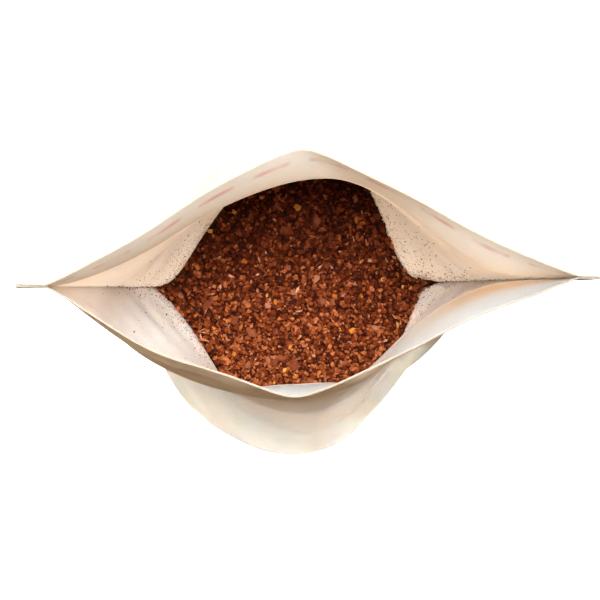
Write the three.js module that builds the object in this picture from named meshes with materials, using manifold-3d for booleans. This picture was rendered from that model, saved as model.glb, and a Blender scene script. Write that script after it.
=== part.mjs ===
// A standing coffee pouch with its top seal peeled open, filled with ground coffee.
// Millimetres, +Z up. The origin is on the floor under the middle of the pouch, +X runs
// along the mouth from seal to seal, and -Y is the front panel's side.
import * as THREE from "three";
import { mergeVertices } from "three/addons/utils/BufferGeometryUtils.js";
import Module from "manifold-3d";

const wasm = await Module();
wasm.setup();

// Driving dimensions
const FLAT_WIDTH = 130; // the empty pouch laid flat
const SIDE_SEAL = 6; // width of each welded side edge
const HEIGHT = 200; // floor to the mouth's corners
const TOP_SEAL = 10; // the peeled seal band along each lip
const GUSSET = 38; // height where the bottom fold is caught in the side seals
const BOTTOM_SEAL = 4; // height of the bottom weld at mid-panel
const WALL = 0.4; // paper and liner together
const BELLY = 80; // height where the panels bulge most squarely
const FILL = 125; // level of the ground coffee, where the empty top starts to fold in
const SHOULDER = 133; // height where the front panel has folded in over the coffee
const CLEARANCE = 0.45; // between the coffee and the paper
const SEAL_CLEARANCE = 2.5; // between the coffee and the side seals
const LIP_DIP = 2.5; // how far mid-lip hangs below the mouth's corners
const MOUTH_SHIFT = 2.5; // the mouth opens a little off centre, towards +X
const FOOT_SPREAD = 6; // half the gap between the front and back bottom corners
const FLOOR_SAG = 3; // how far the gusset would hang below the floor if it could
const SHEET_BITE = 0.03; // how far two welded sheets sink into each other
const GRAIN = 2; // pitch of the bumps on the coffee
const BUMP = 1.1; // height of the bumps
const SWELL = 0.8; // how far the coffee's level rises and falls
const THIN_END = 0.1; // half the coffee's thickness where it runs out towards a seal

const PANEL = FLAT_WIDTH - 2 * SIDE_SEAL; // free width of a panel between its seals
const CREASE = HEIGHT - TOP_SEAL;
const FRONT = -1;
const BACK = 1;

// The standing shape, from the floor to the crease under the seal band and on to the lip:
// how far each panel bulges from the seal plane, how much the corners pinch at the seals (front
// left, front right, back left and back right: no two of a hand-opened pouch are alike), how far
// the front and back bulges lean towards +X, the share of the panels' width that isn't tucked
// into folds, and the rows of facets up to the next height.
const STATIONS = [
  { z: 0, front: 34, back: 33, pinch: [0.7, 0.7, 0.7, 0.7], lean: [0, 0], width: 0.98, rows: 4 },
  { z: GUSSET, front: 39, back: 35.5, pinch: [0.62, 0.75, 0.66, 0.7], lean: [0, 0], width: 1, rows: 3 },
  { z: BELLY, front: 42.5, back: 36.5, pinch: [0.36, 1.24, 0.82, 0.93], lean: [0.04, 0], width: 1, rows: 3 },
  { z: 104, front: 41.7, back: 37.8, pinch: [0.8, 0.9, 0.9, 1], lean: [-0.08, -0.04], width: 0.98, rows: 3 },
  { z: FILL, front: 37.5, back: 35.5, pinch: [1.4, 1.7, 1.7, 2.2], lean: [0.02, 0.08], width: 0.89, rows: 3 },
  { z: SHOULDER, front: 30.5, back: 34, pinch: [1.3, 1.9, 1.9, 2.1], lean: [0, 0.05], width: 0.91, rows: 3 },
  { z: 160, front: 24.8, back: 29.5, pinch: [0.52, 2.3, 2.3, 2.4], lean: [-0.03, 0], width: 0.93, rows: 4 },
  { z: CREASE, front: 21.1, back: 21.4, pinch: [1.2, 3.6, 1.8, 4.5], lean: [-0.07, 0.09], width: 1, rows: 2 },
  { z: HEIGHT, front: 23, back: 26.4, pinch: [1.6, 2.2, 2.6, 2.7], lean: [-0.08, -0.03], width: 1, rows: 0 },
];
const LIP_TENT = 0.8; // how nearly the lips run in straight lines from their middles to the corners
const TENT_ROUNDING = 0.06; // share of the half width over which a straight lip bends at its middle

// Rows and columns of the sheets
const COLUMNS = 28;
const GUSSET_ROWS = 10;
const ARC_STEPS = 64;
const HALVINGS = 40; // of an interval when a width is searched for

const clamp01 = (v) => Math.min(1, Math.max(0, v));

// A station value at a height: smooth up to the crease, straight over the band.
function stationValue(read, z) {
  const last = STATIONS.length - 1;
  let i = 0;
  while (i < last - 1 && z > STATIONS[i + 1].z) i++;
  const [low, high] = [STATIONS[i], STATIONS[i + 1]];
  const span = high.z - low.z;
  const f = clamp01((z - low.z) / span);
  const secant = (k) => {
    const [below, above] = [STATIONS[k], STATIONS[k + 1]];
    return (read(above) - read(below)) / (above.z - below.z);
  };
  const slope = (k) => {
    if (k === 0 || k === last - 1) return 0;
    const [before, after] = [secant(k - 1), secant(k)];
    return before * after > 0 ? (2 * before * after) / (before + after) : 0;
  };
  if (i === last - 1) return THREE.MathUtils.lerp(read(low), read(high), f);
  const [f2, f3] = [f * f, f * f * f];
  return (
    (2 * f3 - 3 * f2 + 1) * read(low) +
    (f3 - 2 * f2 + f) * span * slope(i) +
    (3 * f2 - 2 * f3) * read(high) +
    (f3 - f2) * span * slope(i + 1)
  );
}

// Half the gap between the two panels' side edges: none above the gusset, a tent below it.
const edgeGap = (z) => FOOT_SPREAD * clamp01(1 - z / GUSSET);

// 1 at mid-panel, falling in a straight line to 0 at either seal, with a rounded top
function tentLine(t) {
  const fall = (across) => Math.hypot(across, TENT_ROUNDING) - TENT_ROUNDING;
  return 1 - fall(t) / fall(1);
}

// Distance of a panel from the seal plane at height z and across position t from -1 to 1.
function panelDepth(side, t, z) {
  const panelIndex = side === FRONT ? 0 : 1;
  const across = t - stationValue((s) => s.lean[panelIndex], z) * (1 - t * t);
  const corner = 2 * panelIndex + (across < 0 ? 0 : 1);
  const pinch = stationValue((s) => s.pinch[corner], z);
  const bulge = stationValue((s) => (side === FRONT ? s.front : s.back), z);
  const tent = LIP_TENT * clamp01((z - CREASE) / TOP_SEAL);
  const edge = edgeGap(z);
  const curve = Math.max(0, 1 - across * across) ** pinch;
  return edge + (bulge - edge) * THREE.MathUtils.lerp(curve, tentLine(across), tent);
}

// Across positions crowd towards the seals, where the paper turns most.
const crowded = (f) => -Math.cos(Math.PI * f);

function panelLength(side, halfWidth, z) {
  let length = 0;
  for (let k = 0; k < ARC_STEPS; k++) {
    const [t0, t1] = [crowded(k / ARC_STEPS), crowded((k + 1) / ARC_STEPS)];
    const rise = panelDepth(side, t1, z) - panelDepth(side, t0, z);
    length += Math.hypot(halfWidth * (t1 - t0), rise);
  }
  return length;
}

// Paper doesn't stretch, so the seals draw together where the panels bulge or fold.
const seamCache = new Map();
function seamHalfWidth(z) {
  if (!seamCache.has(z)) {
    const width = stationValue((s) => s.width, z);
    let [low, high] = [0, PANEL / 2];
    for (let n = 0; n < HALVINGS; n++) {
      const middle = (low + high) / 2;
      const length = (panelLength(FRONT, middle, z) + panelLength(BACK, middle, z)) / 2;
      if (length > PANEL * width) high = middle;
      else low = middle;
    }
    seamCache.set(z, low);
  }
  return seamCache.get(z);
}

const mouthShift = (z) => MOUTH_SHIFT * clamp01((z - FILL) / (HEIGHT - FILL));
const lipDip = (t, z) => LIP_DIP * (1 - t * t) * (z / HEIGHT) ** 4;

// A point of a panel's middle surface. u runs from -1 to 1 between the seals, and past that
// over the side seal, where the two sheets lie flat on each other.
function panelPoint(side, u, z) {
  const inner = THREE.MathUtils.clamp(u, -1, 1);
  const t = crowded((inner + 1) / 2);
  const sheet = WALL / 2 - SHEET_BITE;
  return new THREE.Vector3(
    mouthShift(z) + seamHalfWidth(z) * t + (u - inner) * SIDE_SEAL,
    side * (panelDepth(side, t, z) + sheet),
    z - lipDip(t, z),
  );
}

// Manifold solids and three.js geometry
function solidFrom(positions, triangles) {
  const geometry = new THREE.BufferGeometry();
  geometry.setAttribute("position", new THREE.Float32BufferAttribute(positions, 3));
  geometry.setIndex(triangles);
  const merged = mergeVertices(geometry, 1e-5);
  return new wasm.Manifold(
    new wasm.Mesh({
      numProp: 3,
      vertProperties: merged.attributes.position.array,
      triVerts: new Uint32Array(merged.index.array),
    }),
  );
}

function geometryFrom(solid) {
  const mesh = solid.getMesh();
  const geometry = new THREE.BufferGeometry();
  geometry.setAttribute("position", new THREE.BufferAttribute(mesh.vertProperties, 3));
  geometry.setIndex(new THREE.BufferAttribute(mesh.triVerts, 1));
  geometry.computeVertexNormals();
  return geometry;
}

// Closes two matching grids, the lower one facing down, into one solid.
function solidBetween(upper, lower) {
  const [rows, columns] = [upper.length, upper[0].length];
  const positions = [...upper.flat(), ...lower.flat()].flatMap((p) => [p.x, p.y, p.z]);
  const top = (i, j) => i * columns + j;
  const under = (i, j) => rows * columns + top(i, j);
  const triangles = [];
  const quad = (a, b, c, d) => triangles.push(a, b, c, a, c, d);
  for (let i = 0; i < rows - 1; i++) {
    for (let j = 0; j < columns - 1; j++) {
      quad(top(i, j), top(i, j + 1), top(i + 1, j + 1), top(i + 1, j));
      quad(under(i, j), under(i + 1, j), under(i + 1, j + 1), under(i, j + 1));
    }
    quad(top(i, 0), top(i + 1, 0), under(i + 1, 0), under(i, 0));
    const j = columns - 1;
    quad(top(i + 1, j), top(i, j), under(i, j), under(i + 1, j));
  }
  for (let j = 0; j < columns - 1; j++) {
    quad(top(0, j + 1), top(0, j), under(0, j), under(0, j + 1));
    const i = rows - 1;
    quad(top(i, j), top(i, j + 1), under(i, j + 1), under(i, j));
  }
  const solid = solidFrom(positions, triangles);
  if (solid.volume() > 0) return solid;
  return solidFrom(positions, triangles.reverse());
}

// A grid of points moved along its normals, never below the floor.
function shifted(grid, distance) {
  const at = (i, j) =>
    grid[THREE.MathUtils.clamp(i, 0, grid.length - 1)][
      THREE.MathUtils.clamp(j, 0, grid[0].length - 1)
    ];
  return grid.map((row, i) =>
    row.map((p, j) => {
      const along = at(i, j + 1).clone().sub(at(i, j - 1));
      const up = at(i + 1, j).clone().sub(at(i - 1, j));
      const moved = p.clone().addScaledVector(along.cross(up).normalize(), distance);
      return moved.setZ(Math.max(0, moved.z));
    }),
  );
}

// A sheet of paper is a grid of points with the wall's thickness.
const sheetSolid = (grid) => solidBetween(shifted(grid, WALL / 2), shifted(grid, -WALL / 2));

const steps = (from, to, count) =>
  Array.from({ length: count + 1 }, (_, k) => from + ((to - from) * k) / count);

// Heights of the rows of facets, shared by the paper and the coffee
const LEVELS = [
  0,
  ...STATIONS.slice(0, -1).flatMap((from, k) => steps(from.z, STATIONS[k + 1].z, from.rows).slice(1)),
];

// Front and back panels with their side seals
function panel(side) {
  const across = [-2, ...steps(-1, 1, COLUMNS), 2];
  return sheetSolid(LEVELS.map((z) => across.map((u) => panelPoint(side, u, z))));
}

// Bottom gusset: welded to the panels along a curve that climbs from mid-panel to the side
// seals, and pressed flat on the floor under the coffee.
const weldHeight = (t) => BOTTOM_SEAL + (GUSSET - BOTTOM_SEAL) * Math.abs(t) ** 4;
const foldHeight = (t) => -FLOOR_SAG + (GUSSET + FLOOR_SAG) * Math.abs(t) ** 2.4;

function gussetPoint(t, v) {
  const weld = weldHeight(t);
  const free = weld + (foldHeight(t) - weld) * (1 - v * v);
  const z = Math.max(WALL / 2, free);
  const side = v < 0 ? FRONT : BACK;
  const reach = panelDepth(side, t, z) + WALL / 2;
  return new THREE.Vector3(seamHalfWidth(z) * t, v * reach, z);
}

const gussetGrid = steps(-1, 1, GUSSET_ROWS).map((v) =>
  steps(0, 1, COLUMNS).map((f) => gussetPoint(crowded(f), v)),
);

const bagSolid = panel(FRONT).add(panel(BACK)).add(sheetSolid(gussetGrid));

// Ground coffee: what the pouch holds up to the fill level, with a bumpy top
const inset = WALL + CLEARANCE;

function insetDepth(side, t, z) {
  const step = 1e-3;
  const run = seamHalfWidth(z) * 2 * step;
  const ahead = panelDepth(side, Math.min(1, t + step), z);
  const slope = (ahead - panelDepth(side, Math.max(-1, t - step), z)) / run;
  return panelDepth(side, t, z) - inset * Math.hypot(1, slope);
}

// How far towards one seal the coffee reaches before the panels are too close together.
function coffeeReach(end, z) {
  const room = (t) => Math.min(insetDepth(FRONT, t, z), insetDepth(BACK, t, z));
  let [low, high] = [0, 1 - SEAL_CLEARANCE / seamHalfWidth(z)];
  for (let n = 0; n < HALVINGS; n++) {
    const middle = (low + high) / 2;
    if (room(end * middle) > THIN_END) low = middle;
    else high = middle;
  }
  return end * low;
}

function coffeeRows(side) {
  const top = LEVELS.findIndex((z) => z > FILL + BUMP) + 1;
  return LEVELS.slice(0, top).map((z) => {
    const [left, right] = [coffeeReach(-1, z), coffeeReach(1, z)];
    return steps(0, 1, COLUMNS).map((f) => {
      const t = THREE.MathUtils.lerp(left, right, (crowded(f) + 1) / 2);
      return new THREE.Vector3(seamHalfWidth(z) * t, side * insetDepth(side, t, z), z);
    });
  });
}

function mulberry(seed) {
  return () => {
    seed = (seed + 0x6d2b79f5) | 0;
    let v = Math.imul(seed ^ (seed >>> 15), 1 | seed);
    v = (v + Math.imul(v ^ (v >>> 7), 61 | v)) ^ v;
    return ((v ^ (v >>> 14)) >>> 0) / 4294967296;
  };
}

// A block whose top has bumps the size of coarse grounds on a gently uneven level.
function bumpyBlock() {
  const random = mulberry(8);
  const half = FLAT_WIDTH / 2;
  const places = steps(-half, half, FLAT_WIDTH / GRAIN);
  const level = (x, y) => SWELL * (Math.sin(x / 11 + 1) * Math.cos(y / 13) - Math.sin(y / 7) / 2);
  const top = places.map((y) =>
    places.map((x) => {
      const jitter = () => (random() - 0.5) * 0.5 * GRAIN;
      const z = FILL + level(x, y) + (random() - 0.5) * BUMP;
      return new THREE.Vector3(x + jitter(), y + jitter(), z);
    }),
  );
  const floor = top.map((row) => row.map((p) => p.clone().setZ(-GUSSET)));
  return solidBetween(top, floor);
}

// Everything under the gusset, spreading downwards past the feet of the pouch
const spread = new THREE.Vector3(1.6, 1.6, 1);
const sunk = new THREE.Vector3(0, 0, -1.2 * GUSSET);
const belowGusset = solidBetween(
  shifted(gussetGrid, WALL / 2 + CLEARANCE),
  gussetGrid.map((row) => row.map((p) => p.clone().multiply(spread).add(sunk))),
);
const coffeeSolid = solidBetween(coffeeRows(FRONT), coffeeRows(BACK))
  .intersect(bumpyBlock())
  .subtract(belowGusset);

// The model
function piece(name, solid, material) {
  const mesh = new THREE.Mesh(geometryFrom(solid), material);
  mesh.name = name;
  return mesh;
}

const paper = new THREE.MeshStandardMaterial({ color: 0xeadccb, roughness: 0.75, metalness: 0 });
const grounds = new THREE.MeshStandardMaterial({ color: 0x4e2412, roughness: 0.85, metalness: 0 });

const pouch = new THREE.Group();
pouch.add(piece("bag", bagSolid, paper), piece("coffee", coffeeSolid, grounds));

export default pouch;
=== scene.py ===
import math

import bmesh
import bpy
import numpy as np
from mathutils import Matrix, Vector, kdtree


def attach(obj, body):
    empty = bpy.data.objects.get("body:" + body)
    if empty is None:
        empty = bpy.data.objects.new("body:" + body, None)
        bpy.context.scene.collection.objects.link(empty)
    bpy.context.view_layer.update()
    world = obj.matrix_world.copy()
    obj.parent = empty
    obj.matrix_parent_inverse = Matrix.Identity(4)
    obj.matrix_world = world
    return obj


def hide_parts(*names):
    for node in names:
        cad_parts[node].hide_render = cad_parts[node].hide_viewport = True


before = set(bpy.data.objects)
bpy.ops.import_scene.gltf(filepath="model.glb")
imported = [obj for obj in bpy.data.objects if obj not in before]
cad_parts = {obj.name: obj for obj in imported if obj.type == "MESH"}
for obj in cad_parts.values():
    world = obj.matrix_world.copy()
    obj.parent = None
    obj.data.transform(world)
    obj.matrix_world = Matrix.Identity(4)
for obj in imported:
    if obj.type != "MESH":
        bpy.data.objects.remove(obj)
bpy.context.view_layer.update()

MM = 0.001
FRONT = -1
BACK = 1

# Sizes of the pouch
FLAT_WIDTH = 130
SIDE_SEAL = 6
HEIGHT = 200
TOP_SEAL = 10
GUSSET = 38
BOTTOM_SEAL = 4
WALL = 0.4
BELLY = 80
FILL = 125
SHOULDER = 133
LIP_DIP = 2.5
LIP_CURVE = 4
LIP_TENT = 0.8
TENT_ROUNDING = 0.06
MOUTH_SHIFT = 2.5
FOOT_SPREAD = 6
FLOOR_SAG = 3
WELD_CURVE = 4
FOLD_CURVE = 2.4
FIN_GAP = 0.01
LEAST_DEPTH = 0.1
PANEL = FLAT_WIDTH - 2 * SIDE_SEAL
CREASE = HEIGHT - TOP_SEAL

# Sections of the pouch from floor to lip: how far each panel bulges, how sharply its left and right
# corners pinch, how far the front and back bulges lean to the right, and the share of the width that
# isn't folded away.
STATION_FIELDS = (
    "z", "front", "back", "front_left", "front_right", "back_left", "back_right",
    "front_lean", "back_lean", "width",
)
STATIONS = [
    (0, 34, 33, 0.7, 0.7, 0.7, 0.7, 0, 0, 0.98),
    (GUSSET, 39, 35.5, 0.62, 0.75, 0.66, 0.7, 0, 0, 1),
    (BELLY, 42.5, 36.5, 0.36, 1.24, 0.82, 0.93, 0.04, 0, 1),
    (104, 41.7, 37.8, 0.8, 0.9, 0.9, 1, -0.08, -0.04, 0.98),
    (FILL, 37.5, 35.5, 1.4, 1.7, 1.7, 2.2, 0.02, 0.08, 0.89),
    (SHOULDER, 30.5, 34, 1.3, 1.9, 1.9, 2.1, 0, 0.05, 0.91),
    (160, 24.8, 29.5, 0.52, 2.3, 2.3, 2.4, -0.03, 0, 0.93),
    (CREASE, 21.1, 21.4, 1.2, 3.6, 1.8, 4.5, -0.07, 0.09, 1),
    (HEIGHT, 23, 26.4, 1.6, 2.2, 2.6, 2.7, -0.08, -0.03, 1),
]

# Steps of the search for the distance between the seams
SEAM_STEPS = 200
ARC_STEPS = 64
HALVINGS = 40
NARROWEST = 10.0

# Tucks that push a corner of the panel in where it meets the coffee:
# side, place, half-width, depth, height of fold
TUCKS = [
    (BACK, 0.69, 0.11, 6.4, 18),
    (FRONT, 0.84, 0.08, 4.5, 18),
    (FRONT, -0.70, 0.13, 1.9, 23),
    (BACK, -0.82, 0.10, 1.1, 18),
]
TUCK_FADE = 25
DEPTH_KEPT = 0.25
# The back left panel swells between its tuck and its band: place, half-width, height, half-height, swell
PANEL_SWELLING = (-0.72, 0.12, 145, 10, 3)
# The front lip stands out at its left: place, half-width, swell, height where it starts
LIP_SWELLING = (-0.62, 0.13, 1.8, 165)
# The front crease runs close under the lip on both sides of its middle:
# place, half-width, swell, height where it starts
CREASE_SWELLINGS = [
    (0.2, 0.085, 3.8, 155),
    (-0.26, 0.085, 1.7, 155),
]

# Low relief of the paper. A pair is a middle and a half-width, across the panel from -1 to 1
# or up from the floor.
RELIEF_START = 20
RELIEF_FADE = 30
SEAM_FADE = 4
WAVE_DEPTH = 0.35
FAN_DEPTH = 0.5
FAN_ACROSS = (0.86, 0.12)
FAN_UP = (122, 17)
FAN_SPACING = 8.5
FOOT_CREASE_DEPTH = 0.55
FOOT_CREASE_ACROSS = (0.9, 0.1)
FOOT_CREASE_UP = (44, 12)
FOOT_CREASE_SPACING = 9
NECK_DENT_DEPTH = 1.1
NECK_DENT_HALF_WIDTH = 0.3
NECK_DENT_UP = (146, 3.5)
RIPPLE_DEPTH = 0.22
RIPPLE_START = 165
RIPPLE_FADE = 30
SHOULDER_BUMPS = [(-0.45, 0.12), (0.47, 0.12)]
SHOULDER_DENT_DEPTH = 3.1
SHOULDER_DENT_ACROSS = (0.02, 0.3)
SHOULDER_UP = (122, 7.5)
# Waves of the torn lip: height, rate across the panel, turn between front and back
LIP_WAVES = [(0.4, 6.3, 1), (0.25, 17, 2.4), (0.08, 61, 1)]
# Waves of the side fins: depth, height for each radian, start
FIN_WAVES = [(0.5, 21, 1), (0.22, 7.3, 0)]


def smoothstep(value):
    f = np.clip(value, 0, 1)
    return f * f * (3 - 2 * f)


def bell(value, middle, half_width):
    return np.exp(-0.5 * ((value - middle) / half_width) ** 2)


# Shape of the pouch


def station_value(field, z):
    """A field of the sections at height z: smooth up to the crease, straight in the band above it."""
    table = np.array(STATIONS, float)
    heights = table[:, 0]
    values = table[:, STATION_FIELDS.index(field)]
    last = len(heights) - 1
    rise = np.diff(values) / np.diff(heights)
    slope = np.zeros(len(heights))
    for k in range(1, last - 1):
        a, b = rise[k - 1], rise[k]
        slope[k] = 2 * a * b / (a + b) if a * b > 0 else 0
    z = np.asarray(z, float)
    i = np.clip(np.searchsorted(heights, z) - 1, 0, last - 1)
    span = heights[i + 1] - heights[i]
    f = np.clip((z - heights[i]) / span, 0, 1)
    low, high = values[i], values[i + 1]
    ease = f * f * (3 - 2 * f)
    bend = span * (f * (1 - f) ** 2 * slope[i] - f * f * (1 - f) * slope[np.minimum(i + 1, last - 1)])
    straight = i == last - 1
    return np.where(straight, low + (high - low) * f, low + (high - low) * ease + bend)


def edge_gap(z):
    """How far the panels stand apart at the seam, where the gusset spreads them."""
    return FOOT_SPREAD * np.clip(1 - z / GUSSET, 0, 1)


def plain_depth(side, t, z):
    """Distance from the seal plane to a panel, t from -1 at the left seam to 1 at the right."""
    name = "front" if side == FRONT else "back"
    t = t - station_value(name + "_lean", z) * (1 - t * t)
    pinch = np.where(t < 0, station_value(name + "_left", z), station_value(name + "_right", z))
    bulge = station_value(name, z)
    tent = LIP_TENT * np.clip((z - CREASE) / TOP_SEAL, 0, 1)
    fall = np.hypot(t, TENT_ROUNDING) - TENT_ROUNDING
    line = 1 - fall / (math.hypot(1, TENT_ROUNDING) - TENT_ROUNDING)
    curve = np.maximum(0, 1 - t * t) ** pinch
    gap = edge_gap(z)
    return gap + (bulge - gap) * (tent * line + (1 - tent) * curve)


def crowded(f):
    """Places across the panel from -1 to 1, closer together near the seams."""
    return -np.cos(np.pi * f)


def seam_table():
    """Half the distance between the seams at each height, so that a panel keeps its flat width."""
    heights = np.linspace(0, HEIGHT, SEAM_STEPS + 1)
    t = crowded(np.linspace(0, 1, ARC_STEPS + 1))[:, None]
    run = np.diff(t, axis=0)
    steps = [np.diff(plain_depth(side, t, heights), axis=0) for side in (FRONT, BACK)]
    goal = PANEL * station_value("width", heights)
    low = np.full(len(heights), NARROWEST)
    high = np.full(len(heights), PANEL / 2)
    for _ in range(HALVINGS):
        middle = (low + high) / 2
        length = sum(np.hypot(middle * run, step).sum(0) for step in steps) / 2
        low = np.where(length > goal, low, middle)
        high = np.where(length > goal, middle, high)
    return heights, low


SEAM_HEIGHTS, SEAM_HALF_WIDTHS = seam_table()


def seam(z):
    """Half the distance between the seams at height z."""
    return np.interp(z, SEAM_HEIGHTS, SEAM_HALF_WIDTHS)


def mouth_shift(z):
    """How far the pouch leans to the right above the coffee."""
    return MOUTH_SHIFT * np.clip((z - FILL) / (HEIGHT - FILL), 0, 1)


def tuck(side, t, z):
    """How far the corner folds push a panel towards the seal plane, less what its swellings push out."""
    total = np.zeros(np.broadcast(t, z).shape)
    for tuck_side, place, half_width, push, fold in TUCKS:
        if tuck_side == side:
            below = smoothstep((z - FILL + TUCK_FADE) / TUCK_FADE)
            above = np.clip(1 - (z - FILL) / fold, 0, 1)
            total = total + push * bell(t, place, half_width) * np.where(z < FILL, below, above)
    if side == BACK:
        place, half_width, height, half_height, swell = PANEL_SWELLING
        total = total - swell * bell(t, place, half_width) * bell(z, height, half_height)
    else:
        place, half_width, swell, start = LIP_SWELLING
        total = total - swell * bell(t, place, half_width) * np.clip((z - start) / (HEIGHT - start), 0, 1)
        for place, half_width, swell, start in CREASE_SWELLINGS:
            grown = smoothstep((z - start) / (CREASE - start)) * np.clip((HEIGHT - z) / TOP_SEAL, 0, 1)
            total = total - swell * bell(t, place, half_width) * grown
    return total


def folded_depth(side, t, z):
    """Distance from the seal plane to a panel with its tucks and swellings."""
    depth = plain_depth(side, t, z)
    return np.maximum(depth - tuck(side, t, z), DEPTH_KEPT * depth)


def creases(side, t, z):
    """Small dents and waves of the paper, outward; the plain numbers set the waves' lengths and turns."""
    free = np.clip((1 - t * t) * SEAM_FADE, 0, 1) * smoothstep((z - RELIEF_START) / RELIEF_FADE)
    edge = np.abs(t)
    waves = WAVE_DEPTH * np.sin(z / 19 + 1.3 * side + 2.1 * t) * np.cos(5.3 * t + 0.6 * side + z / 41)
    fan_run = z - (118 + 26 * (1 - edge)) + 4 * side
    fan_share = bell(edge, *FAN_ACROSS) * bell(z, *FAN_UP)
    fans = FAN_DEPTH * fan_share * np.cos(2 * np.pi * fan_run / FAN_SPACING + 9 * t)
    foot_share = bell(edge, *FOOT_CREASE_ACROSS) * bell(z, *FOOT_CREASE_UP)
    foot = FOOT_CREASE_DEPTH * foot_share * np.cos(2 * np.pi * (z + 22 * edge) / FOOT_CREASE_SPACING)
    dent = -NECK_DENT_DEPTH * bell(t, 0.28 * side - 0.1, NECK_DENT_HALF_WIDTH) * bell(z, *NECK_DENT_UP)
    ripple_share = RIPPLE_DEPTH * smoothstep((z - RIPPLE_START) / RIPPLE_FADE)
    ripple = ripple_share * np.sin(11 * t + 2 * side) * np.sin(4.1 * t + side)
    if side == FRONT:
        bumps = sum(bell(t, *bump_across) for bump_across in SHOULDER_BUMPS)
        hollow = SHOULDER_DENT_DEPTH * bell(t, *SHOULDER_DENT_ACROSS)
        dent = dent + (bumps - hollow) * bell(z, *SHOULDER_UP)
    return free * (waves + fans + foot + dent + ripple)


def wall_depth(side, t, z):
    """Distance from the seal plane to a panel with all its folds and creases."""
    return folded_depth(side, t, z) + creases(side, t, z)


def lip_wave(side, t):
    """The lip's torn edge rises and falls a little."""
    return sum(height * np.sin(rate * t + turn * side) for height, rate, turn in LIP_WAVES)


def panel_points(side, u, z):
    """The middle of a panel's sheet; u runs from -1 to 1 between the seams and to 2 at a fin's outer edge."""
    inner = np.clip(u, -1, 1)
    t = crowded((inner + 1) / 2)
    fin = u - inner
    rise = (z / HEIGHT) ** LIP_CURVE
    flutter = fin * sum(depth * np.sin(z / radian + start) for depth, radian, start in FIN_WAVES)
    x = mouth_shift(z) + seam(z) * t + fin * SIDE_SEAL
    y = side * (wall_depth(side, t, z) + WALL / 2 + FIN_GAP) + flutter
    dip = LIP_DIP * (1 - t * t) * rise - lip_wave(side, t) * rise * rise * (1 - np.abs(fin))
    return np.stack(np.broadcast_arrays(x, y, z - dip), axis=-1)


def weld_height(t):
    """Top of the curved weld between a panel and the gusset."""
    return BOTTOM_SEAL + (GUSSET - BOTTOM_SEAL) * np.abs(t) ** WELD_CURVE


def fold_height(t):
    """The gusset's middle fold, pressed down to the floor between the seams."""
    return -FLOOR_SAG + (GUSSET + FLOOR_SAG) * np.abs(t) ** FOLD_CURVE


def gusset_height(t, v):
    """Height of the gusset between the front panel, v = -1, and the back one, v = 1."""
    return np.maximum(WALL / 2, weld_height(t) + (fold_height(t) - weld_height(t)) * (1 - v * v))


def between(t, v, z, inset):
    """A depth between the front panel, v = -1, and the back one, v = 1, at height z."""
    front = np.maximum(wall_depth(FRONT, t, z) + inset, LEAST_DEPTH)
    back = np.maximum(wall_depth(BACK, t, z) + inset, LEAST_DEPTH)
    return -front + (front + back) * (v + 1) / 2


# Mesh making

MAP_COLUMNS = 3
MAP_ROWS = 2
MAP_MARGIN = 0.012
RIM_MAP_STEP = 0.004
SHARP_ANGLE = math.radians(55)


def grid_faces(rows, columns, start=0, flip=False):
    index = start + np.arange(rows * columns).reshape(rows, columns)
    corners = [index[:-1, :-1], index[:-1, 1:], index[1:, 1:], index[1:, :-1]]
    if flip:
        corners.reverse()
    return np.stack(corners, axis=-1).reshape(-1, 4)


def grid_normals(points):
    along_rows = np.gradient(points, axis=0)
    along_columns = np.gradient(points, axis=1)
    normals = np.cross(along_columns, along_rows)
    return normals / np.maximum(np.linalg.norm(normals, axis=-1, keepdims=True), 1e-9)


def chart(cell, rows, columns):
    """A grid's own rectangle of the bake map, which has three by two cells."""
    across, up = np.meshgrid(np.linspace(0, 1, columns), np.linspace(0, 1, rows))
    inner_share = 1 - 2 * MAP_MARGIN
    u = (cell % MAP_COLUMNS + MAP_MARGIN + inner_share * across) / MAP_COLUMNS
    v = (cell // MAP_COLUMNS + MAP_MARGIN + inner_share * up) / MAP_ROWS
    return np.stack([u, v], axis=-1).reshape(-1, 2)


def sheet_part(points, cell, flip, values):
    """A closed sheet of paper round a grid of points: an outer face, an inner face and a rim."""
    rows, columns, _ = points.shape
    count = rows * columns
    sign = -1 if flip else 1
    offset = sign * WALL / 2 * grid_normals(points)
    layers = np.concatenate([(points + offset).reshape(-1, 3), (points - offset).reshape(-1, 3)])
    layers[:, 2] = np.maximum(layers[:, 2], 0)
    outer = grid_faces(rows, columns, 0, flip)
    inner = grid_faces(rows, columns, count, not flip)
    index = np.arange(count).reshape(rows, columns)
    loop = np.concatenate([index[0, :-1], index[:-1, -1], index[-1, :0:-1], index[:0:-1, 0]])
    after = np.roll(loop, -1)
    rim = np.stack([after, loop, loop + count, after + count], axis=-1)
    if flip:
        rim = rim[:, ::-1]
    outer_map = chart(cell, rows, columns)
    inner_map = chart(cell + MAP_COLUMNS, rows, columns)
    rim_map = outer_map + RIM_MAP_STEP * (outer_map - outer_map.mean(0))
    face_maps = np.concatenate([outer_map, inner_map])
    edge_maps = np.concatenate([outer_map, rim_map])
    maps = np.concatenate([face_maps[outer], face_maps[inner], edge_maps[rim]])
    inside = np.concatenate([np.zeros(count), np.ones(count)])
    faces = np.concatenate([outer, inner, rim])
    cut_edge = np.concatenate([np.zeros(len(outer) + len(inner)), np.ones(len(rim))])
    attributes = {name: np.tile(value.reshape(-1), 2) for name, value in values.items()}
    return dict(points=layers, faces=faces, map=maps, inside=inside, face_edge=cut_edge, **attributes)


def joined(parts):
    """Several parts as one, with their faces renumbered."""
    starts = np.cumsum([0] + [len(part["points"]) for part in parts[:-1]])
    whole = {key: np.concatenate([part[key] for part in parts]) for key in parts[0] if key != "faces"}
    whole["faces"] = np.concatenate([part["faces"] + start for part, start in zip(parts, starts)])
    return whole


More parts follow.
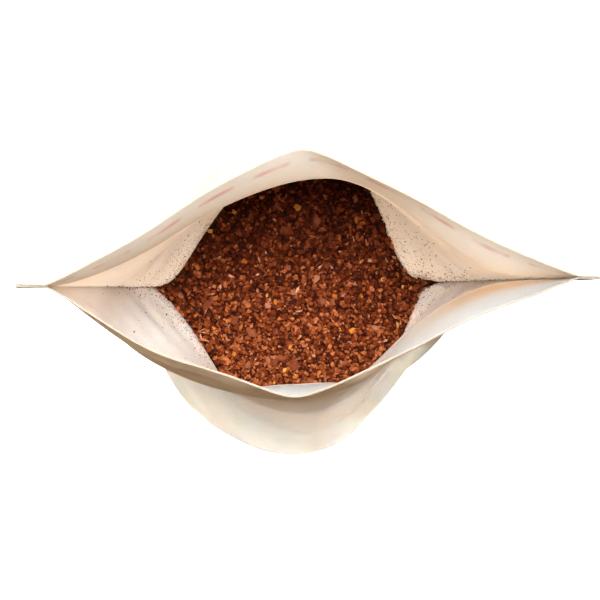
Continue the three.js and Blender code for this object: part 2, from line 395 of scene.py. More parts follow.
def make_piece(name, part, material, smooth):
    """A mesh object in metres from points in millimetres, riding on the one body."""
    mesh = bpy.data.meshes.new(name)
    mesh.from_pydata((part["points"] * MM).tolist(), [], part["faces"].tolist())
    uv = mesh.uv_layers.new(name="OFBake")
    uv.data.foreach_set("uv", part["map"].astype(np.float32).ravel())
    for key, values in part.items():
        if key not in ("points", "faces", "map"):
            domain = "FACE" if key.startswith("face_") else "POINT"
            values_on_mesh = mesh.attributes.new(key, "FLOAT", domain)
            values_on_mesh.data.foreach_set("value", values.astype(np.float32))
    mesh.polygons.foreach_set("use_smooth", np.full(len(mesh.polygons), smooth))
    mesh.materials.append(material)
    mesh.update()
    if smooth:
        mesh.set_sharp_from_angle(angle=SHARP_ANGLE)
    piece = bpy.data.objects.new(name, mesh)
    bpy.context.scene.collection.objects.link(piece)
    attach(piece, "root")
    return piece


def weld_vertices(piece, distance):
    """Joins the vertices that neighbouring grids share."""
    shape = bmesh.new()
    shape.from_mesh(piece.data)
    bmesh.ops.remove_doubles(shape, verts=shape.verts, dist=distance)
    shape.to_mesh(piece.data)
    shape.free()
    piece.data.update()


# Node helpers


def new_material(name):
    material = bpy.data.materials.new(name)
    material.use_nodes = True
    tree = material.node_tree
    tree.nodes.clear()
    shader = tree.nodes.new("ShaderNodeBsdfPrincipled")
    output = tree.nodes.new("ShaderNodeOutputMaterial")
    tree.links.new(shader.outputs["BSDF"], output.inputs["Surface"])
    return material, tree, shader


def feed(tree, socket, value):
    """Links a socket to another, or sets it to a plain value."""
    if isinstance(value, bpy.types.NodeSocket):
        tree.links.new(value, socket)
    else:
        socket.default_value = value


def attribute(tree, name):
    node = tree.nodes.new("ShaderNodeAttribute")
    node.attribute_name = name
    return node.outputs["Fac"]


def place(tree):
    return tree.nodes.new("ShaderNodeTexCoord").outputs["Object"]


def maths(tree, operation, a, b=0.0):
    node = tree.nodes.new("ShaderNodeMath")
    node.operation = operation
    for socket, value in zip(node.inputs, (a, b)):
        feed(tree, socket, value)
    return node.outputs[0]


def times(tree, a, b):
    return maths(tree, "MULTIPLY", a, b)


def remap(tree, value, low, high, to_low=0.0, to_high=1.0):
    node = tree.nodes.new("ShaderNodeMapRange")
    node.interpolation_type = "SMOOTHSTEP"
    for socket, given in zip(node.inputs, (value, low, high, to_low, to_high)):
        feed(tree, socket, given)
    return node.outputs[0]


def combine(tree, x, y, z=0.0):
    node = tree.nodes.new("ShaderNodeCombineXYZ")
    for socket, value in zip(node.inputs, (x, y, z)):
        feed(tree, socket, value)
    return node.outputs[0]


def noise(tree, vector, scale, detail=3.0, roughness=0.55):
    node = tree.nodes.new("ShaderNodeTexNoise")
    feed(tree, node.inputs["Vector"], vector)
    node.inputs["Scale"].default_value = scale
    node.inputs["Detail"].default_value = detail
    node.inputs["Roughness"].default_value = roughness
    return node.outputs["Fac"]


def cells(tree, vector, scale):
    """Distance to the nearest of many scattered points, and a random value for that point."""
    node = tree.nodes.new("ShaderNodeTexVoronoi")
    feed(tree, node.inputs["Vector"], vector)
    node.inputs["Scale"].default_value = scale
    return node.outputs["Distance"], node.outputs["Color"]


def ramp(tree, value, stops):
    node = tree.nodes.new("ShaderNodeValToRGB")
    feed(tree, node.inputs["Fac"], value)
    elements = node.color_ramp.elements
    while len(elements) < len(stops):
        elements.new(0.5)
    for element, (position, colour) in zip(elements, stops):
        element.position = position
        element.color = (*colour, 1)
    return node.outputs["Color"]


def mix(tree, factor, a, b, blend="MIX"):
    node = tree.nodes.new("ShaderNodeMix")
    node.data_type = "RGBA"
    node.blend_type = blend
    for index, value in ((0, factor), (6, a), (7, b)):
        feed(tree, node.inputs[index], (*value, 1) if isinstance(value, tuple) else value)
    return node.outputs[2]


def bump(tree, shader, height, strength, distance):
    node = tree.nodes.new("ShaderNodeBump")
    node.inputs["Strength"].default_value = strength
    node.inputs["Distance"].default_value = distance
    feed(tree, node.inputs["Height"], height)
    tree.links.new(node.outputs["Normal"], shader.inputs["Normal"])


# Paper. Texture scales are per metre where they follow the place, and per millimetre along the sheet.

PAPER_OUTSIDE = (0.75, 0.63, 0.51)
PAPER_INSIDE = (0.975, 0.845, 0.745)
# Painted shade along the crease under the band, on the inside
PAPER_CREASE_SHADE = (0.40, 0.21, 0.085)
# The peeled band's inside is painted darker than the paper: painted shade against the strong light on it
PAPER_BAND_SHADE = (0.47, 0.475, 0.47)
PAPER_SEAL = (0.68, 0.60, 0.52)
# The cut edge: partly the darker core of the cut paper, partly painted shade against the strong light on it
PAPER_EDGE_SHADE = (0.44, 0.37, 0.30)
PRINT = (0.40, 0.19, 0.20)
STAIN = (0.62, 0.34, 0.18)
DUST = (0.26, 0.10, 0.045)
PAPER_GLOW = (1.0, 0.77, 0.58)
PAPER_GLOW_REACH = 0.003
BAND_BLUR = 0.6
BLOTCH_SCALE = 55
FIBRE_SCALE = 1.1
FIBRE_STRETCH = 4.5
TOOTH_SCALE = 900
CRIMP_RATE = 4.2
DASH_START = 2.0
DASH_HALF_PITCH = 6.2
DASH_ENDS = (1.6, 2.6)
DASH_BELOW_LIP = 3.4
DASH_HALF_THICKNESS = (0.9, 0.35)
RULE_HALF_PITCH = 1.3
RULE_HALF_THICKNESS = (0.25, 0.1)
RULE_STRENGTH = 0.22
HAZE_SCALE = 130
# Specks of dust: scale and size
SPECKS = ((1900, 0.34), (3600, 0.40))
SPECK_BLUR = 0.12
SPECK_SHARE = 0.45


def paper_ground(tree, inside, lip):
    """The paper's colours: outside, inside and the seals, with painted shade on the peeled band and along its
    crease.
    """
    colour = mix(tree, inside, PAPER_OUTSIDE, PAPER_INSIDE)
    colour = mix(tree, attribute(tree, "seal"), colour, PAPER_SEAL)
    # The peeled band's inside gets a darker grey: painted shade against the strong light on it
    peeled = times(tree, remap(tree, lip, TOP_SEAL + BAND_BLUR, TOP_SEAL - BAND_BLUR), inside)
    colour = mix(tree, peeled, colour, PAPER_BAND_SHADE)
    # Painted shade along the crease under the band, on the inside
    crease_shade = times(tree, attribute(tree, "crease_shade"), inside)
    return mix(tree, crease_shade, colour, PAPER_CREASE_SHADE)


def paper_print(tree, colour, run, lip):
    """A printed line of dashes on the back band, on both faces, and faint rules on the front."""
    dash_run = maths(tree, "PINGPONG", maths(tree, "ADD", run, DASH_START), DASH_HALF_PITCH)
    dash = remap(tree, dash_run, *DASH_ENDS)
    off_line = maths(tree, "ABSOLUTE", maths(tree, "SUBTRACT", lip, DASH_BELOW_LIP))
    line = remap(tree, off_line, *DASH_HALF_THICKNESS)
    uneven = remap(tree, noise(tree, combine(tree, run, 0.0), 0.12, 1), 0.35, 0.62, 0.15, 0.75)
    printed = times(tree, times(tree, dash, line), uneven)
    printed = times(tree, printed, attribute(tree, "band"))
    colour = mix(tree, printed, colour, PRINT)
    rule_run = maths(tree, "PINGPONG", lip, RULE_HALF_PITCH)
    rules = times(tree, remap(tree, rule_run, *RULE_HALF_THICKNESS), attribute(tree, "rules"))
    return mix(tree, times(tree, rules, RULE_STRENGTH), colour, PRINT)


def paper_dust(tree, colour, inside):
    """Coffee dust: a brown haze near the grounds and stippled specks that thin out up the wall."""
    stain = times(tree, attribute(tree, "stain"), inside)
    clouds = remap(tree, noise(tree, place(tree), HAZE_SCALE, 4), 0.3, 0.75, 0.03, 0.3)
    colour = mix(tree, times(tree, stain, clouds), colour, STAIN)
    for scale, reach in SPECKS:
        distance, chance = cells(tree, place(tree), scale)
        kept = maths(tree, "LESS_THAN", chance, times(tree, stain, SPECK_SHARE))
        dots = times(tree, remap(tree, distance, reach, reach - SPECK_BLUR), kept)
        colour = mix(tree, dots, colour, DUST)
    return colour


def paper_material():
    """Matt cream paper that lets light through, with fibres, blotches, crimped seals, print and dust."""
    material, tree, shader = new_material("pouch_paper")
    inside = attribute(tree, "inside")
    run = attribute(tree, "run")
    lip = attribute(tree, "lip")
    fibre_lines = noise(tree, combine(tree, times(tree, run, FIBRE_STRETCH), lip), FIBRE_SCALE, 5, 0.7)
    fibres = remap(tree, fibre_lines, 0.25, 0.75, 0.91, 1.05)
    blotches = remap(tree, noise(tree, place(tree), BLOTCH_SCALE, 4), 0.3, 0.7, 0.93, 1.03)
    tone = times(tree, blotches, fibres)
    colour = paper_ground(tree, inside, lip)
    colour = mix(tree, 1.0, colour, combine(tree, tone, tone, tone), "MULTIPLY")
    # The cut edge is darker: partly the cut paper's core, partly painted shade against the strong light on it
    colour = mix(tree, attribute(tree, "face_edge"), colour, PAPER_EDGE_SHADE)
    colour = paper_print(tree, colour, run, lip)
    colour = paper_dust(tree, colour, inside)
    tree.links.new(colour, shader.inputs["Base Color"])

    rough = remap(tree, noise(tree, place(tree), 420, 3), 0.3, 0.7, 0.62, 0.82)
    tree.links.new(rough, shader.inputs["Roughness"])
    shader.inputs["Specular IOR Level"].default_value = 0.3
    shader.inputs["Sheen Weight"].default_value = 0.08
    shader.inputs["Subsurface Weight"].default_value = 0.85
    shader.inputs["Subsurface Radius"].default_value = PAPER_GLOW
    shader.inputs["Subsurface Scale"].default_value = PAPER_GLOW_REACH
    crimp = times(tree, maths(tree, "SINE", times(tree, lip, CRIMP_RATE)), attribute(tree, "seal"))
    tooth = maths(tree, "ADD", fibre_lines, times(tree, noise(tree, place(tree), TOOTH_SCALE, 2), 0.6))
    height = maths(tree, "ADD", times(tree, crimp, 0.3), tooth)
    bump(tree, shader, height, 0.25, 0.0003)
    return material


# The pouch, one piece of three welded sheets

COLUMNS = 141
FIN_COLUMNS = 4
ROWS_LOW = 44
ROWS_HIGH = 104
ROW_CHANGE = 96
GUSSET_COLUMNS = 61
GUSSET_ROWS = 33
# Painted shade along the crease of the band: share of the full shade, where it starts across the panel and
# over how far it grows. The back has one share all along.
FRONT_RIGHT_CREASE_SHADE = (0.9, 0.2, 0.5)
FRONT_LEFT_CREASE_SHADE = (0.35, 0.4, 0.4)
BACK_CREASE_SHADE = 0.2
# A pair is again a middle and a half-width, here below the lip, up from the floor or across the panel.
CREASE_SHADE_BELOW_LIP = (TOP_SEAL - 1, 2.2)
RULES_UP = (152, 7)
RULES_ACROSS = (0.05, 0.3)
# How far the dust's haze reaches up the wall, and how much further at the corners
STAIN_REACH = 2.5
STAIN_CORNER_REACH = 6
CORNER_START = 0.35
CORNER_FADE = 0.4


def panel_heights():
    """Heights of a panel's rows, closer together in its upper part."""
    low = np.linspace(0, ROW_CHANGE, ROWS_LOW, endpoint=False)
    high = np.linspace(ROW_CHANGE, HEIGHT, ROWS_HIGH)
    return np.concatenate([low, high])[:, None]


def crease_shade_share(side, t):
    """How strong the painted shade along the crease under the band is, most at the front right."""
    if side == BACK:
        return BACK_CREASE_SHADE
    right, right_start, right_fade = FRONT_RIGHT_CREASE_SHADE
    left, left_start, left_fade = FRONT_LEFT_CREASE_SHADE
    on_right = right * smoothstep((t - right_start) / right_fade)
    on_left = left * smoothstep((-t - left_start) / left_fade)
    return on_right + on_left


def panel_part(side, cell):
    """A panel with its fins: the points of its middle, and its sheet with the values that its paper needs."""
    inner = np.linspace(-1, 1, COLUMNS)
    fin = np.linspace(1, 2, FIN_COLUMNS + 1)[1:]
    u = np.concatenate([-fin[::-1], inner, fin])[None, :]
    z = panel_heights()
    t = crowded((np.clip(u, -1, 1) + 1) / 2)
    points = panel_points(side, u, z)
    steps = np.linalg.norm(np.diff(points, axis=1), axis=-1)
    run = np.concatenate([np.zeros((len(z), 1)), np.cumsum(steps, axis=1)], axis=1)
    run = run - run[:, run.shape[1] // 2][:, None]
    lip = HEIGHT - z + 0 * u
    sealed = (np.abs(u) > 1) | (z < weld_height(t))
    corner = smoothstep((np.abs(t) - CORNER_START) / CORNER_FADE)
    above = np.clip(z - FILL, 0, None)
    values = dict(
        run=run,
        lip=lip,
        seal=np.where(sealed, 1.0, 0.0),
        crease_shade=crease_shade_share(side, t) * bell(lip, *CREASE_SHADE_BELOW_LIP),
        # Painted shade along the crease under the band
        band=(lip < TOP_SEAL) * float(side == BACK),
        rules=bell(z, *RULES_UP) * bell(t, *RULES_ACROSS) * float(side == FRONT),
        stain=np.exp(-above / (STAIN_REACH + STAIN_CORNER_REACH * corner)),
    )
    return points, sheet_part(points, cell, side == BACK, values)


def gusset_part(cell):
    """The bottom gusset, a sheet that runs from panel to panel."""
    t = crowded(np.linspace(0, 1, GUSSET_COLUMNS))[:, None]
    v = np.linspace(-1, 1, GUSSET_ROWS)[None, :]
    z = gusset_height(t, v)
    depth = np.where(v < 0, folded_depth(FRONT, t, z), folded_depth(BACK, t, z)) + WALL / 2
    points = np.stack(np.broadcast_arrays(seam(z) * t, v * depth, z), axis=-1)
    none = np.zeros(z.shape)
    values = dict(run=v * depth, lip=z, seal=none, crease_shade=none, band=none, rules=none, stain=none)
    return sheet_part(points, cell, False, values)


front_points, front_part = panel_part(FRONT, 0)
back_points, back_part = panel_part(BACK, 1)
pouch_part = joined([front_part, back_part, gusset_part(2)])
pouch = make_piece("pouch", pouch_part, paper_material(), True)
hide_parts("bag")

# Coffee

# Colours from the darkest tone to the lightest
GROUNDS = [
    (0.0, (0.018, 0.0022, 0.0004)),
    (0.35, (0.078, 0.0125, 0.0026)),
    (0.7, (0.18, 0.039, 0.0095)),
    (1.0, (0.37, 0.115, 0.038)),
]
FLAKES = [
    (0.0, (0.12, 0.028, 0.010)),
    (0.5, (0.19, 0.056, 0.025)),
    (1.0, (0.30, 0.12, 0.062)),
]
CHAFF = [
    (0.0, (0.20, 0.06, 0.03)),
    (0.5, (0.30, 0.12, 0.07)),
    (1.0, (0.46, 0.24, 0.16)),
]
BRIGHT_BITS = [
    (0.0, (0.30, 0.075, 0.012)),
    (0.6, (0.42, 0.14, 0.02)),
    (1.0, (0.54, 0.27, 0.075)),
]
PORE_SCALE = 2600
GROUNDS_ROUGHNESS = 0.72


def coffee_material(name, stops, roughness):
    """Roasted bean: each grain has its own tone, broken by pores and a little oil."""
    material, tree, shader = new_material(name)
    pores = noise(tree, place(tree), PORE_SCALE, 3, 0.6)
    tone = maths(tree, "ADD", attribute(tree, "tone"), remap(tree, pores, 0.25, 0.75, -0.16, 0.16))
    tree.links.new(ramp(tree, tone, stops), shader.inputs["Base Color"])
    rough = remap(tree, pores, 0.3, 0.7, roughness - 0.12, roughness + 0.12)
    tree.links.new(rough, shader.inputs["Roughness"])
    shader.inputs["Specular IOR Level"].default_value = 0.08
    bump(tree, shader, pores, 0.5, 0.00015)
    return material


# The heap of coffee: a solid core with grain-sized relief

CLEARANCE = 0.45
SEAL_CLEARANCE = 2.5
SWELL = 0.8
GRAIN = 2
BUMP = 0.9
BUMP_REACH = 0.6
BUMP_COUNT = 2400
BUMP_HEIGHTS = (0.3, 1)
BUMP_CORNERS = ((-42, -46), (42, 42))
CORE_DROP = 0.5
# The core shows in the gaps between the grains; its dark tone is painted shade in these gaps
CORE_SHADE_TONE = 0.08
CORE_ACROSS = 150
CORE_DEEP = 132
CORE_UP = 22
LIFT_CURVE = 8
WELD_DISTANCE = 0.01 * MM
SEED = 20

dice = np.random.default_rng(SEED)


def level(x, y):
    """How far the heap's top lies above or below its mean height, in long low waves."""
    return SWELL * (np.sin(x / 11 + 1) * np.cos(y / 13) - np.sin(y / 7) / 2)


def relief(x, y):
    """Rounded bumps of grain size, from the distance to the nearest of many scattered points."""
    spots = dice.uniform(*BUMP_CORNERS, (BUMP_COUNT, 2))
    heights = dice.uniform(*BUMP_HEIGHTS, BUMP_COUNT)
    tree = kdtree.KDTree(BUMP_COUNT)
    for k, spot in enumerate(spots):
        tree.insert((*spot, 0), k)
    tree.balance()
    found = [tree.find((a, b, 0)) for a, b in zip(x.ravel(), y.ravel())]
    distance = np.array([f[2] for f in found]).reshape(x.shape)
    top = heights[np.array([f[1] for f in found])].reshape(x.shape)
    return BUMP * top * np.sqrt(np.clip(1 - (distance / (BUMP_REACH * GRAIN)) ** 2, 0, 1))


def core_points(t, v, h, lift=0.0):
    """The heap as a bent block: t across, v from front to back and h from the gusset to the top."""
    low = gusset_height(t, v) + CLEARANCE
    z = low + (FILL - CORE_DROP - low) * h + lift
    x = mouth_shift(z) + (seam(z) - SEAL_CLEARANCE) * t
    return np.stack(np.broadcast_arrays(x, between(t, v, z, -CLEARANCE), z), axis=-1)


def core_part():
    """The heap as one part made of six grids, of which three are turned over."""
    t = crowded(np.linspace(0, 1, CORE_ACROSS))
    v = np.linspace(-1, 1, CORE_DEEP)
    h = np.linspace(0, 1, CORE_UP)
    flat_top = core_points(t[:, None], v[None, :], 1.0)
    top_height = level(flat_top[..., 0], flat_top[..., 1]) + relief(flat_top[..., 0], flat_top[..., 1])
    lift = top_height[..., None] * h ** LIFT_CURVE
    grids = [
        (core_points(t[:, None], v[None, :], 1.0, top_height), False),
        (core_points(t[:, None], v[None, :], 0.0), True),
        (core_points(t[0], v[:, None], h[None, :], lift[0]), True),
        (core_points(t[-1], v[:, None], h[None, :], lift[-1]), False),
        (core_points(t[:, None], v[0], h[None, :], lift[:, 0]), False),
        (core_points(t[:, None], v[-1], h[None, :], lift[:, -1]), True),
    ]
    parts = []
    for cell, (points, flip) in enumerate(grids):
        rows, columns, _ = points.shape
        faces = grid_faces(rows, columns, 0, not flip)
        # Painted shade: the core takes the darkest tone where it shows between the grains
        tone = np.full(rows * columns, CORE_SHADE_TONE)
        maps = chart(cell, rows, columns)[faces]
        parts.append(dict(points=points.reshape(-1, 3), faces=faces, map=maps, tone=tone))
    return joined(parts)


grounds = coffee_material("grounds", GROUNDS, GROUNDS_ROUGHNESS)
core = make_piece("coffee_core", core_part(), grounds, True)
weld_vertices(core, WELD_DISTANCE)
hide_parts("coffee")

# Loose grains on top of the heap

# Kinds of grain: form, least and greatest size, how far sizes lean to small, proportions, how uneven
# the corners are and, for those that lie flat, how far they tilt
FINE = dict(form="octahedron", sizes=(0.5, 0.9), lean=1.3, shape=(1.25, 1, 0.8), rough=0.3)
COARSE = dict(form="icosahedron", sizes=(0.62, 1.36), lean=1.5, shape=(1.2, 1, 0.75), rough=0.3)
FLAKE = dict(form="icosahedron", sizes=(1.1, 2.2), lean=1.6, shape=(1.2, 1, 0.3), rough=0.25, tilt=0.3)
SLIVER = dict(form="octahedron", sizes=(0.35, 0.7), lean=1.3, shape=(3, 1, 0.3), rough=0.2, tilt=0.3)
BRIGHT = dict(form="icosahedron", sizes=(0.6, 1.6), lean=1.6, shape=(1.2, 1, 0.5), rough=0.3, tilt=0.5)
CLINGING = dict(form="octahedron", sizes=(0.12, 0.42), lean=2.2, shape=(1, 1, 0.8), rough=0.3)
CORNER_SHIFT = 0.16
STRETCH = (0.75, 1.3)
HEAP_CORNERS = ((-38, -42), (38, 38))
FINE_COUNT = 9500
TRIES_PER_GRAIN = 4
GRAIN_SPACING = 0.82
ROW_STEP = 0.87
SHAKE = 0.42
# Painted shade: grain tones drop for each millimetre towards the back, where the back lip shades the heap
BACK_PAINTED_SHADE = 0.009


def turns(count):
    """Random rotations, as matrices, from unit quaternions."""
    q = dice.normal(size=(count, 4))
    w, x, y, z = (q / np.linalg.norm(q, axis=1, keepdims=True)).T
    rows = [
        [1 - 2 * (y * y + z * z), 2 * (x * y - w * z), 2 * (x * z + w * y)],
        [2 * (x * y + w * z), 1 - 2 * (x * x + z * z), 2 * (y * z - w * x)],
        [2 * (x * z - w * y), 2 * (y * z + w * x), 1 - 2 * (x * x + y * y)],
    ]
    return np.moveaxis(np.array(rows), 2, 0)


def lying(count, tilt):
    """Random rotations that keep a grain's flat side nearly level."""
    spin = dice.uniform(0, 2 * np.pi, count)
    lean = dice.normal(0, tilt, (2, count))
    c, s = np.cos(spin), np.sin(spin)
    zero, one = np.zeros(count), np.ones(count)
    about_z = np.moveaxis(np.array([[c, -s, zero], [s, c, zero], [zero, zero, one]]), 2, 0)
    cx, sx, cy, sy = np.cos(lean[0]), np.sin(lean[0]), np.cos(lean[1]), np.sin(lean[1])
    about_x = np.moveaxis(np.array([[one, zero, zero], [zero, cx, -sx], [zero, sx, cx]]), 2, 0)
    about_y = np.moveaxis(np.array([[cy, zero, sy], [zero, one, zero], [-sy, zero, cy]]), 2, 0)
    return about_x @ about_y @ about_z


def octahedron():
    """Points and triangles of an octahedron of radius 1."""
    points = [(1, 0, 0), (0, 1, 0), (-1, 0, 0), (0, -1, 0), (0, 0, 1), (0, 0, -1)]
    sides = [(k, (k + 1) % 4) for k in range(4)]
    faces = [(a, b, 4) for a, b in sides] + [(b, a, 5) for a, b in sides]
    return np.array(points, float), np.array(faces)


def icosahedron():
    """Points and triangles of an icosahedron of radius 1: two poles and two rings of five."""
    height, radius = 1 / math.sqrt(5), 2 / math.sqrt(5)
    ring = [(radius * math.cos(k * math.pi / 5), radius * math.sin(k * math.pi / 5)) for k in range(10)]
    upper = [(x, y, height) for x, y in ring[0::2]]
    lower = [(x, y, -height) for x, y in ring[1::2]]
    points = [(0, 0, 1), *upper, *lower, (0, 0, -1)]
    faces = []
    for k in range(5):
        a, b = 1 + k, 1 + (k + 1) % 5
        c, d = 6 + k, 6 + (k + 1) % 5
        faces += [(0, a, b), (a, c, b), (b, c, d), (c, 11, d)]
    return np.array(points, float), np.array(faces)


def grain_sizes(kind, count):
    """Sizes for grains of a kind, more of them small when its lean is above 1."""
    low, high = kind["sizes"]
    return low + (high - low) * dice.uniform(0, 1, count) ** kind["lean"]


def grain_part(kind, centres, sizes, tones):
    """Many broken grains at once: balls with their corners moved, scaled, turned and put in place."""
    count = len(centres)
    rotations = lying(count, kind["tilt"]) if "tilt" in kind else turns(count)
    corners, faces = octahedron() if kind["form"] == "octahedron" else icosahedron()
    radii = dice.uniform(1 - kind["rough"], 1 + kind["rough"], (count, len(corners), 1))
    shift = dice.normal(0, CORNER_SHIFT, (count, len(corners), 3))
    scale = dice.uniform(*STRETCH, (count, 1, 3)) * np.array(kind["shape"])
    local = (corners[None] * radii + shift) * scale * sizes[:, None, None] / 2
    points = np.einsum("nij,nkj->nki", rotations, local) + centres[:, None, :]
    all_faces = faces[None] + len(corners) * np.arange(count)[:, None, None]
    side = math.ceil(math.sqrt(count))
    cell = np.stack([np.arange(count) % side, np.arange(count) // side], axis=-1)
    triangle = np.array([(0.25, 0.25), (0.75, 0.25), (0.5, 0.75)])
    maps = np.broadcast_to((cell[:, None, None, :] + triangle) / side, (count, len(faces), 3, 2))
    return dict(
        points=points.reshape(-1, 3),
        faces=all_faces.reshape(-1, 3),
        map=maps.reshape(-1, 3, 2),
        tone=np.repeat(tones, len(corners)),
    )


def grain_piece(name, kind, centres, tones, material):
    part = grain_part(kind, centres, grain_sizes(kind, len(centres)), tones)
    return make_piece(name, part, material, False)


def on_top(spots, margin):
    """Which of these places lie on top of the coffee, this far in from the paper."""
    t = np.clip(spots[:, 0] / seam(FILL), -1, 1)
    front = np.minimum(wall_depth(FRONT, t, FILL), wall_depth(FRONT, t, FILL + GRAIN))
    back = np.minimum(wall_depth(BACK, t, FILL), wall_depth(BACK, t, FILL + GRAIN))
    depth = np.where(spots[:, 1] < 0, front, back)
    return (np.abs(spots[:, 1]) < depth - margin) & (np.abs(spots[:, 0]) < seam(FILL) - margin)


def raised(spots, low, high):
    """These places with a height between low and high above the level of the coffee."""
    z = FILL + level(spots[:, 0], spots[:, 1]) + dice.uniform(low, high, len(spots))
    return np.column_stack([spots, z])


def on_heap(count, margin, low, high):
    """Random places on the coffee."""
    found = np.zeros((0, 2))
    while len(found) < count:
        tries = dice.uniform(*HEAP_CORNERS, (TRIES_PER_GRAIN * count, 2))
        found = np.concatenate([found, tries[on_top(tries, margin)]])
    return raised(found[:count], low, high)


def packed_on_heap(spacing, margin, low, high):
    """Places on the coffee side by side, in rows that are shaken up."""
    (left, near), (right, far) = HEAP_CORNERS
    x, y = np.meshgrid(np.arange(left, right, spacing), np.arange(near, far, ROW_STEP * spacing))
    x[1::2] += spacing / 2
    spots = np.column_stack([x.ravel(), y.ravel()])
    spots = spots + dice.uniform(-SHAKE, SHAKE, spots.shape) * spacing
    return raised(spots[on_top(spots, margin)], low, high)


def tones_of(centres, middle, width):
    """A tone for each grain, with painted shade: darker towards the back, where the back lip shades the heap.
    """
    return np.clip(dice.normal(middle, width, len(centres)) - BACK_PAINTED_SHADE * centres[:, 1], 0, 1)


# Fine grains lie low between the coarse ones and get darker tones: partly finer, darker grounds, partly
# painted shade in the gaps
fine_centres = on_heap(FINE_COUNT, margin=0.3, low=-0.6, high=0.1)
fine_tones = tones_of(fine_centres, middle=0.2, width=0.2)
grain_piece("fine_grains", FINE, fine_centres, fine_tones, grounds)

coarse_centres = packed_on_heap(GRAIN_SPACING, margin=0.5, low=0.0, high=0.75)
coarse_tones = tones_of(coarse_centres, middle=0.51, width=0.25)
grain_piece("coarse_grains", COARSE, coarse_centres, coarse_tones, grounds)

# Bits that lie on the grains: piece, kind, count, margin, heights, tones, how far they lean to dark,
# colours, roughness
TOPPINGS = [
    ("flakes", FLAKE, 46, 1.2, (0.55, 0.95), (0, 1), 1.3, FLAKES, 0.7),
    ("chaff_slivers", SLIVER, 110, 1.2, (0.6, 1.0), (0.2, 1), 1, CHAFF, 0.6),
    ("bright_bits", BRIGHT, 55, 0.8, (0.55, 0.95), (0, 1), 1.5, BRIGHT_BITS, 0.6),
]
for name, kind, count, margin, heights, tone_range, tone_lean, colours, roughness in TOPPINGS:
    centres = on_heap(count, margin, *heights)
    tones = dice.uniform(*tone_range, count) ** tone_lean
    grain_piece(name, kind, centres, tones, coffee_material(name, colours, roughness))

# Dust and stray grains that cling to the paper above the coffee

# Patches of dust: panel, from and to across the panel, reach up the wall, count
DUST_PATCHES = [
    (back_points, 0.45, 0.97, 7, 420),
    (front_points, 0.72, 0.99, 5, 170),
    (front_points, -0.98, -0.45, 5, 300),
    (back_points, -0.99, -0.55, 4.5, 200),
    (front_points, -0.999, -0.975, 7, 60),
    (back_points, 0.975, 0.999, 14, 80),
    (front_points, 0.975, 0.999, 10, 60),
    (back_points, -0.999, -0.975, 7, 60),
]
DUST_TOP = 60
DUST_TONE = 0.75
DUST_TONE_WIDTH = 0.2
DUST_LIFT = 0.15


def wall_places(points, rows, columns, lift):
    """Points on a panel's inner face, at grid places with fractions."""
    r, c = np.floor(rows).astype(int), np.floor(columns).astype(int)
    fr, fc = (rows - r)[:, None], (columns - c)[:, None]
    near = points[r, c] * (1 - fc) + points[r, c + 1] * fc
    far = points[r + 1, c] * (1 - fc) + points[r + 1, c + 1] * fc
    normal = grid_normals(points)[r, c]
    inward = np.where((normal[:, 1] * near[:, 1] > 0)[:, None], -normal, normal)
    return near * (1 - fr) + far * fr + inward * (WALL / 2 + lift)[:, None]


def dust_row(height):
    """The grid row, with a fraction, at a height above the change of row spacing."""
    return ROWS_LOW + (height - ROW_CHANGE) / (HEIGHT - ROW_CHANGE) * (ROWS_HIGH - 1)


def dust_column(t):
    """The grid column, with a fraction, at a place across the panel."""
    return FIN_COLUMNS + np.arccos(np.clip(-t, -1, 1)) / np.pi * (COLUMNS - 1)


def dust_part():
    centres, sizes = [], []
    for points, start, end, reach, count in DUST_PATCHES:
        height = FILL + np.minimum(dice.exponential(reach, count), DUST_TOP)
        size = grain_sizes(CLINGING, count)
        t = dice.uniform(start, end, count)
        panel_rows, panel_columns, _ = points.shape
        rows = np.minimum(dust_row(height), panel_rows - 2)
        columns = np.clip(dust_column(t), 0, panel_columns - 2)
        centres.append(wall_places(points, rows, columns, DUST_LIFT * size))
        sizes.append(size)
    centres, sizes = np.concatenate(centres), np.concatenate(sizes)
    tones = np.clip(dice.normal(DUST_TONE, DUST_TONE_WIDTH, len(sizes)), 0, 1)
    return grain_part(CLINGING, centres, sizes, tones)


make_piece("wall_dust", dust_part(), grounds, False)

# Stage

FLOOR_HALF = 6.0
FLOOR_COLOUR = (0.93, 0.925, 0.91)
FLOOR_SHADE = 0.985
FLOOR_GLOW = 0.85


def floor_material():
    material, tree, shader = new_material("floor")
    grain = remap(tree, noise(tree, place(tree), 3, 3), 0.3, 0.7)
    colour = mix(tree, grain, FLOOR_COLOUR, tuple(FLOOR_SHADE * c for c in FLOOR_COLOUR))
    tree.links.new(colour, shader.inputs["Base Color"])
    shader.inputs["Roughness"].default_value = 0.9
    shader.inputs["Emission Color"].default_value = (1, 1, 1, 1)
    shader.inputs["Emission Strength"].default_value = FLOOR_GLOW
    return material


floor_mesh = bpy.data.meshes.new("floor")
floor_signs = ((-1, -1), (1, -1), (1, 1), (-1, 1))
floor_corners = [(x * FLOOR_HALF, y * FLOOR_HALF, 0) for x, y in floor_signs]
floor_mesh.from_pydata(floor_corners, [], [(0, 1, 2, 3)])
floor_mesh.materials.append(floor_material())
floor = bpy.data.objects.new("floor", floor_mesh)
floor.visible_diffuse = False
floor.visible_glossy = False
bpy.context.scene.collection.objects.link(floor)

# Light, in metres and watts

WARM_WHITE = (1, 0.982, 0.955)
SIDE_WARMTH = (1, 0.64, 0.36)
AMBIENT = (0.04, 0.024, 0.012)
BACKDROP = (1.0, 1.0, 1.0)
LIT_PLACE = (0, 0, 0.18)
LIGHT_DISTANCE = 1.2
# Lights: name, azimuth from straight behind towards the right, elevation, size, power, colour
LIGHTS = [
    ("key", 10, 79, 0.55, 36, WARM_WHITE),
    ("left_back", -34, 1, 0.45, 11.5, WARM_WHITE),
    ("right_back", 34, 1, 0.45, 14.5, WARM_WHITE),
    ("left_side", -95, 25, 0.6, 5, SIDE_WARMTH),
    ("right_side", 95, 25, 0.6, 5, SIDE_WARMTH),
]
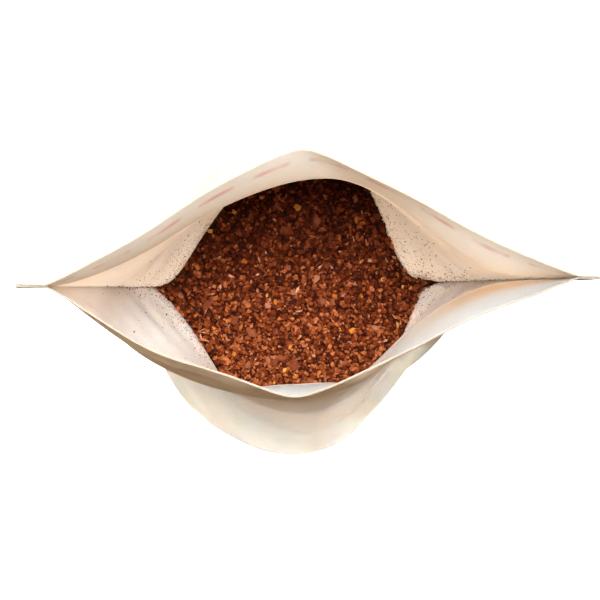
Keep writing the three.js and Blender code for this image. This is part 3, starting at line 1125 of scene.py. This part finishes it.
# Two narrow beams brighten the belly from the front and leave the neck above it in the lip's shade
BEAM_PLACE = (0, 0, 0.066)
BEAM_DISTANCE = 0.9
BEAM_ELEVATION = 14
BEAM_WIDTH = 0.14
BEAM_HEIGHT = 0.1
BEAM_SPREAD = math.radians(5)
BEAMS = [("left_belly", -140, 0.034), ("right_belly", 140, 0.046)]


def area_light(name, target, azimuth, elevation, distance, size, power, colour):
    """A round light that shines on a target from a direction."""
    lamp = bpy.data.lights.new(name, "AREA")
    lamp.shape = "DISK"
    lamp.size = size
    lamp.energy = power
    lamp.color = colour
    light = bpy.data.objects.new(name, lamp)
    turn, rise = math.radians(azimuth), math.radians(elevation)
    away = Vector((math.sin(turn) * math.cos(rise), math.cos(turn) * math.cos(rise), math.sin(rise)))
    light.location = Vector(target) + away * distance
    light.rotation_euler = away.to_track_quat("Z", "Y").to_euler()
    bpy.context.scene.collection.objects.link(light)
    return lamp


for name, azimuth, elevation, size, power, colour in LIGHTS:
    area_light(name, LIT_PLACE, azimuth, elevation, LIGHT_DISTANCE, size, power, colour)
for name, azimuth, power in BEAMS:
    beam = area_light(name, BEAM_PLACE, azimuth, BEAM_ELEVATION, BEAM_DISTANCE, BEAM_WIDTH, power, WARM_WHITE)
    beam.shape = "ELLIPSE"
    beam.size_y = BEAM_HEIGHT
    beam.spread = BEAM_SPREAD

world = bpy.data.worlds.new("studio")
world.use_nodes = True
world_tree = world.node_tree
background = world_tree.nodes["Background"]
seen = world_tree.nodes.new("ShaderNodeLightPath").outputs["Is Camera Ray"]
world_tree.links.new(mix(world_tree, seen, AMBIENT, BACKDROP), background.inputs["Color"])
bpy.context.scene.world = world
bpy.context.scene.view_settings.view_transform = "Standard"

# Camera

CAMERA_PLACE = (0, -0.0037, 0.6)
CAMERA_LENS = 120
CAMERA_SENSOR = 36
CAMERA_ROLL = math.radians(-1)
lens = bpy.data.cameras.new("camera")
lens.lens = CAMERA_LENS
lens.sensor_width = CAMERA_SENSOR
camera = bpy.data.objects.new("camera", lens)
camera.location = CAMERA_PLACE
camera.rotation_euler = (0, 0, CAMERA_ROLL)
bpy.context.scene.collection.objects.link(camera)
bpy.context.scene.camera = camera
